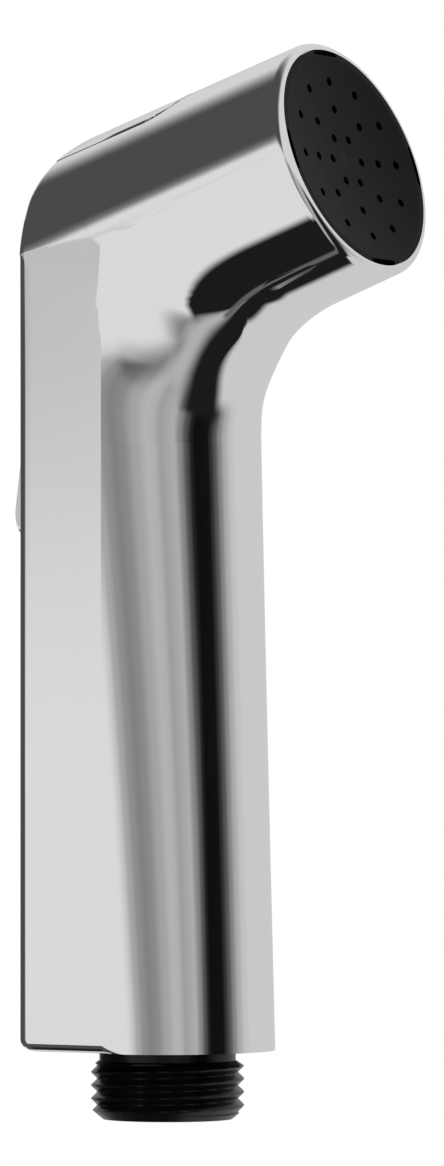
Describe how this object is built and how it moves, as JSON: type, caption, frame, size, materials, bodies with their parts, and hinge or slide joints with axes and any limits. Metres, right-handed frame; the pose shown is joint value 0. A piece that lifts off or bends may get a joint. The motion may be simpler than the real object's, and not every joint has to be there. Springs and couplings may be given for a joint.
{
  "type": "bidet hand shower",
  "caption": "Handheld bidet shower: flat-sided tapered grip, angled round spray head, back lever that opens a spring-loaded valve, half-inch male inlet thread.",
  "frame": {"origin": "centre of the inlet thread's lower end face", "axes": "+Z along the inlet's axis, up the grip; +X to the side that sprays; Y across the grip"},
  "size_m": [0.0539, 0.0344, 0.1466],
  "materials": {
    "chrome": "polished chrome plating",
    "black_plastic": "satin black moulded plastic",
    "grey_plastic": "natural grey acetal",
    "rubber": "black nitrile rubber",
    "steel": "stainless steel",
    "brass": "turned brass"
  },
  "bodies": {
    "handle": {"body_shell": "chrome", "trigger_pin": "steel", "bottom_cap": "black_plastic", "cap_screws": "steel", "inlet_nipple": "black_plastic", "nipple_o_ring": "rubber", "inlet_strainer": "grey_plastic", "flow_limiter": "grey_plastic", "check_valve_cage": "grey_plastic", "check_valve_spring": "steel", "handle_core": "black_plastic", "valve_seat": "grey_plastic", "valve_spring": "steel", "valve_plug": "black_plastic", "plug_o_ring": "rubber", "valve_gland": "black_plastic", "stem_o_ring": "rubber", "head_cup": "black_plastic", "spigot_o_ring": "rubber", "spray_plate": "grey_plastic", "face_gasket": "rubber", "nozzle_plate": "black_plastic"},
    "lever": {"trigger_lever": "chrome"},
    "stem": {"valve_stem": "brass", "poppet_seal": "rubber"},
    "check_poppet": {"check_valve_poppet": "grey_plastic", "check_valve_seal": "rubber"}
  },
  "joints": [
    {"name": "trigger_hinge", "type": "hinge", "parent": "handle", "child": "lever", "pos_m": [0.0072, 0, 0.13287], "axis": [0, -1, 0], "range_deg": [0, 4.5], "stiffness_Nm_per_rad": 2, "springref_deg": -6.88},
    {"name": "valve_stem_slide", "type": "slide", "parent": "handle", "child": "stem", "axis": [1, 0, 0], "range_m": [0, 0.00217], "deforming": ["valve_spring"]},
    {"name": "check_valve_slide", "type": "slide", "parent": "handle", "child": "check_poppet", "axis": [0, 0, 1], "range_m": [0, 0.0025], "stiffness_N_per_m": 60, "springref_m": -0.002, "deforming": ["check_valve_spring"]}
  ],
  "couplings": [
    {"joint": "valve_stem_slide", "follows": "trigger_hinge", "m_per_rad": 0.02695}
  ]
}
